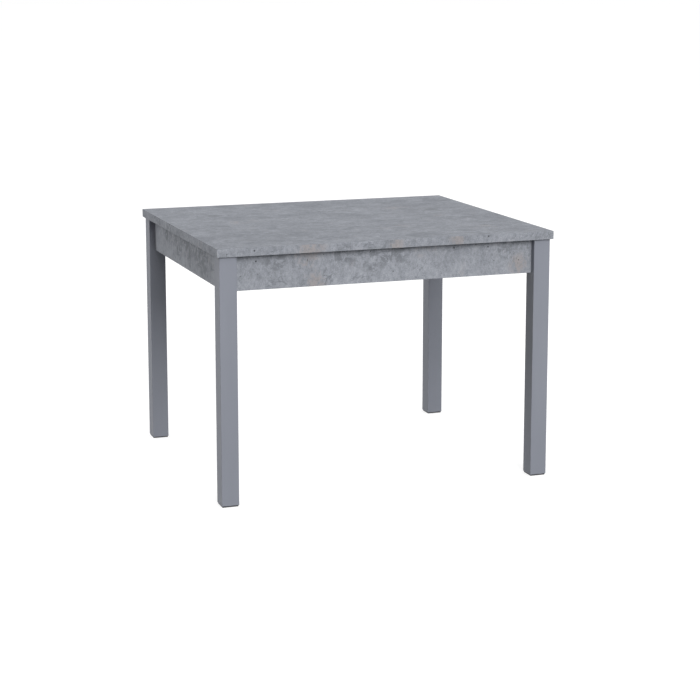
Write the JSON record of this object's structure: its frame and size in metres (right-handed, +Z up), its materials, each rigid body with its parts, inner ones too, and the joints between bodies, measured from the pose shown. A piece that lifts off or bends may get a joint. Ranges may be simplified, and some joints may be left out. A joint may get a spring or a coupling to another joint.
{
  "type": "extendable dining table",
  "caption": "Square-legged dining table whose top parts in the middle on roller runners, with a folding leaf stored under it to fill the gap.",
  "frame": {"origin": "on the floor, under the middle of the closed top", "axes": "+X along the table's length, towards its right end; +Y towards the back; +Z up"},
  "size_m": [1.05, 0.9, 0.76],
  "materials": {
    "concrete_laminate": "matt concrete-effect melamine on chipboard, mottled blue-grey with fine dark pits",
    "leg_lacquer": "satin plain blue-grey lacquer with softened edges",
    "black_plastic": "fine matt",
    "zinc_steel": "zinc plated",
    "channel_aluminium": "satin anodised, drawn lengthwise",
    "nylon": "natural white nylon",
    "beech": "unfinished beech"
  },
  "bodies": {
    "frame": {"leg_front_left": "leg_lacquer", "foot_glide_front_left": "black_plastic", "corner_bracket_front_left": "zinc_steel", "leg_bolt_front_left": "zinc_steel", "leg_front_right": "leg_lacquer", "foot_glide_front_right": "black_plastic", "corner_bracket_front_right": "zinc_steel", "leg_bolt_front_right": "zinc_steel", "leg_back_left": "leg_lacquer", "foot_glide_back_left": "black_plastic", "corner_bracket_back_left": "zinc_steel", "leg_bolt_back_left": "zinc_steel", "leg_back_right": "leg_lacquer", "foot_glide_back_right": "black_plastic", "corner_bracket_back_right": "zinc_steel", "leg_bolt_back_right": "zinc_steel", "apron_front": "concrete_laminate", "apron_back": "concrete_laminate", "apron_left": "concrete_laminate", "apron_right": "concrete_laminate", "runner_channel_front": "channel_aluminium", "runner_channel_back": "channel_aluminium", "leaf_bearer_left": "beech", "leaf_bearer_right": "beech", "leaf_board_upper": "concrete_laminate", "leaf_board_lower": "concrete_laminate", "leaf_hinge_left": "zinc_steel", "leaf_hinge_right": "zinc_steel"},
    "left_half": {"top_left": "concrete_laminate", "slider_front_left": "zinc_steel", "slider_back_left": "zinc_steel", "roller_pin_front_left_inner": "zinc_steel", "roller_pin_front_left_outer": "zinc_steel", "roller_pin_back_left_inner": "zinc_steel", "roller_pin_back_left_outer": "zinc_steel", "joint_dowel_1": "beech", "joint_dowel_2": "beech", "joint_dowel_3": "beech", "joint_dowel_4": "beech", "latch_pivot_front": "zinc_steel", "latch_pivot_back": "zinc_steel"},
    "right_half": {"top_right": "concrete_laminate", "slider_front_right": "zinc_steel", "slider_back_right": "zinc_steel", "roller_pin_front_right_inner": "zinc_steel", "roller_pin_front_right_outer": "zinc_steel", "roller_pin_back_right_inner": "zinc_steel", "roller_pin_back_right_outer": "zinc_steel", "latch_keeper_front": "zinc_steel", "latch_keeper_back": "zinc_steel"},
    "roller_front_left_inner": {"roller_front_left_inner": "nylon"},
    "roller_front_left_outer": {"roller_front_left_outer": "nylon"},
    "roller_front_right_inner": {"roller_front_right_inner": "nylon"},
    "roller_front_right_outer": {"roller_front_right_outer": "nylon"},
    "roller_back_left_inner": {"roller_back_left_inner": "nylon"},
    "roller_back_left_outer": {"roller_back_left_outer": "nylon"},
    "roller_back_right_inner": {"roller_back_right_inner": "nylon"},
    "roller_back_right_outer": {"roller_back_right_outer": "nylon"},
    "latch_hook_front": {"latch_hook_front": "zinc_steel"},
    "latch_hook_back": {"latch_hook_back": "zinc_steel"}
  },
  "joints": [
    {"name": "left_half_slide", "type": "slide", "parent": "frame", "child": "left_half", "axis": [-1, 0, 0], "range_m": [0, 0.2]},
    {"name": "right_half_slide", "type": "slide", "parent": "frame", "child": "right_half", "axis": [1, 0, 0], "range_m": [0, 0.2]},
    {"name": "roller_front_left_inner_spin", "type": "hinge", "parent": "left_half", "child": "roller_front_left_inner", "pos_m": [-0.028, -0.3964, 0.7118], "axis": [0, -1, 0], "range_deg": [0, 790.5]},
    {"name": "roller_front_left_outer_spin", "type": "hinge", "parent": "left_half", "child": "roller_front_left_outer", "pos_m": [-0.2495, -0.3964, 0.7118], "axis": [0, -1, 0], "range_deg": [0, 790.5]},
    {"name": "roller_front_right_inner_spin", "type": "hinge", "parent": "right_half", "child": "roller_front_right_inner", "pos_m": [0.028, -0.3964, 0.7118], "axis": [0, 1, 0], "range_deg": [0, 790.5]},
    {"name": "roller_front_right_outer_spin", "type": "hinge", "parent": "right_half", "child": "roller_front_right_outer", "pos_m": [0.2495, -0.3964, 0.7118], "axis": [0, 1, 0], "range_deg": [0, 790.5]},
    {"name": "roller_back_left_inner_spin", "type": "hinge", "parent": "left_half", "child": "roller_back_left_inner", "pos_m": [-0.028, 0.3964, 0.7118], "axis": [0, -1, 0], "range_deg": [0, 790.5]},
    {"name": "roller_back_left_outer_spin", "type": "hinge", "parent": "left_half", "child": "roller_back_left_outer", "pos_m": [-0.2495, 0.3964, 0.7118], "axis": [0, -1, 0], "range_deg": [0, 790.5]},
    {"name": "roller_back_right_inner_spin", "type": "hinge", "parent": "right_half", "child": "roller_back_right_inner", "pos_m": [0.028, 0.3964, 0.7118], "axis": [0, 1, 0], "range_deg": [0, 790.5]},
    {"name": "roller_back_right_outer_spin", "type": "hinge", "parent": "right_half", "child": "roller_back_right_outer", "pos_m": [0.2495, 0.3964, 0.7118], "axis": [0, 1, 0], "range_deg": [0, 790.5]},
    {"name": "latch_hook_front_turn", "type": "hinge", "parent": "left_half", "child": "latch_hook_front", "pos_m": [-0.035, -0.2507, 0.7304], "axis": [0, 0, 1], "range_deg": [0, 90]},
    {"name": "latch_hook_back_turn", "type": "hinge", "parent": "left_half", "child": "latch_hook_back", "pos_m": [-0.035, 0.2507, 0.7304], "axis": [0, 0, -1], "range_deg": [0, 90]}
  ],
  "couplings": [
    {"joint": "roller_front_left_inner_spin", "follows": "left_half_slide", "rad_per_m": 68.966},
    {"joint": "roller_front_left_outer_spin", "follows": "left_half_slide", "rad_per_m": 68.966},
    {"joint": "roller_front_right_inner_spin", "follows": "right_half_slide", "rad_per_m": 68.966},
    {"joint": "roller_front_right_outer_spin", "follows": "right_half_slide", "rad_per_m": 68.966},
    {"joint": "roller_back_left_inner_spin", "follows": "left_half_slide", "rad_per_m": 68.966},
    {"joint": "roller_back_left_outer_spin", "follows": "left_half_slide", "rad_per_m": 68.966},
    {"joint": "roller_back_right_inner_spin", "follows": "right_half_slide", "rad_per_m": 68.966},
    {"joint": "roller_back_right_outer_spin", "follows": "right_half_slide", "rad_per_m": 68.966}
  ]
}
